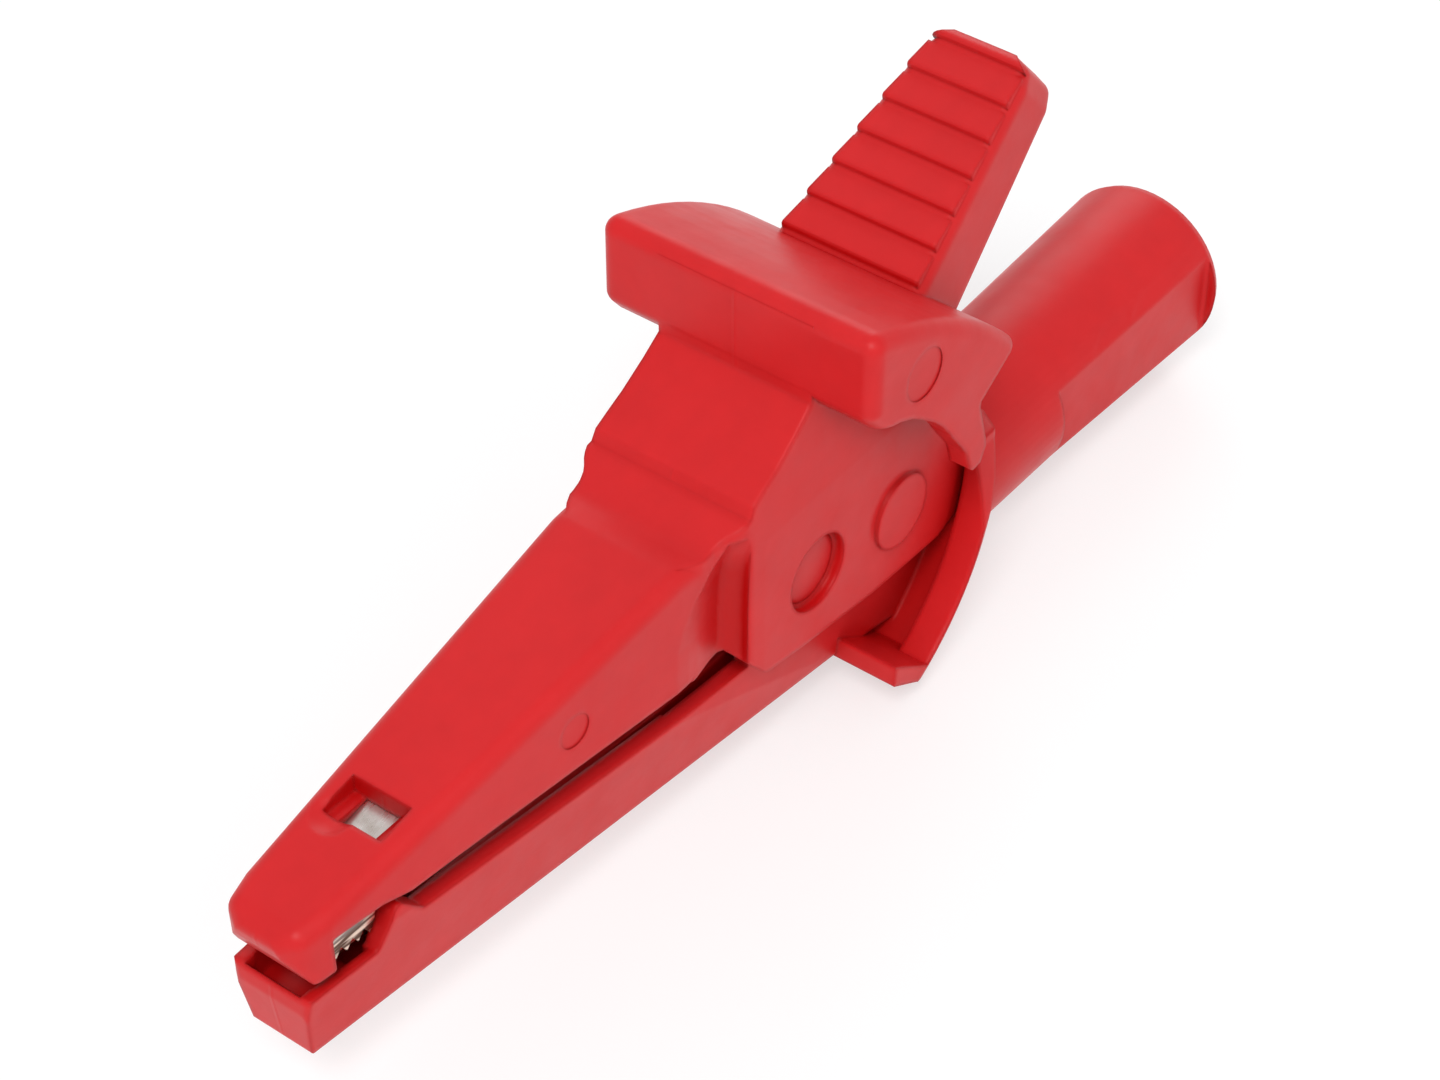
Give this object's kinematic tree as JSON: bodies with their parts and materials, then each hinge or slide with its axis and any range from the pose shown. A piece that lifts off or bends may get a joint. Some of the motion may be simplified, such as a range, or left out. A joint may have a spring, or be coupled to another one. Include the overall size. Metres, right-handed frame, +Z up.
{
  "type": "crocodile clip",
  "caption": "Insulated safety crocodile clip with finger guards, ribbed thumb lever, long tapered jaws with metal contacts, and a shrouded plug socket in its round tail.",
  "frame": {"origin": "centre of the mouth of the plug socket in the tail, on the socket's axis", "axes": "+X runs from the tail to the tip of the jaws, +Z is up towards the thumb lever, and Y is the direction of the pivot"},
  "size_m": [0.0921, 0.0204, 0.038],
  "materials": {
    "body_plastic": "semi-gloss moulded polyamide",
    "jaw_plastic": "semi-gloss moulded polyamide",
    "contact_nickel": "nickel-plated stamped sheet",
    "sleeve_brass": "nickel-plated turned brass",
    "steel": "spring steel wire and zinc-plated screw"
  },
  "bodies": {
    "body": {"lower_body": "body_plastic", "lower_contact": "contact_nickel", "socket_sleeve": "sleeve_brass", "contact_screw": "steel", "closing_spring": "steel"},
    "jaw": {"upper_jaw": "jaw_plastic", "upper_contact": "contact_nickel"}
  },
  "joints": [
    {"name": "jaw_hinge", "type": "hinge", "parent": "body", "child": "jaw", "pos_m": [0.0467, 0, 0.00785], "axis": [0, -1, 0], "range_deg": [0, 28], "stiffness_Nm_per_rad": 0.25, "springref_deg": -40.11, "deforming": ["closing_spring"]}
  ]
}
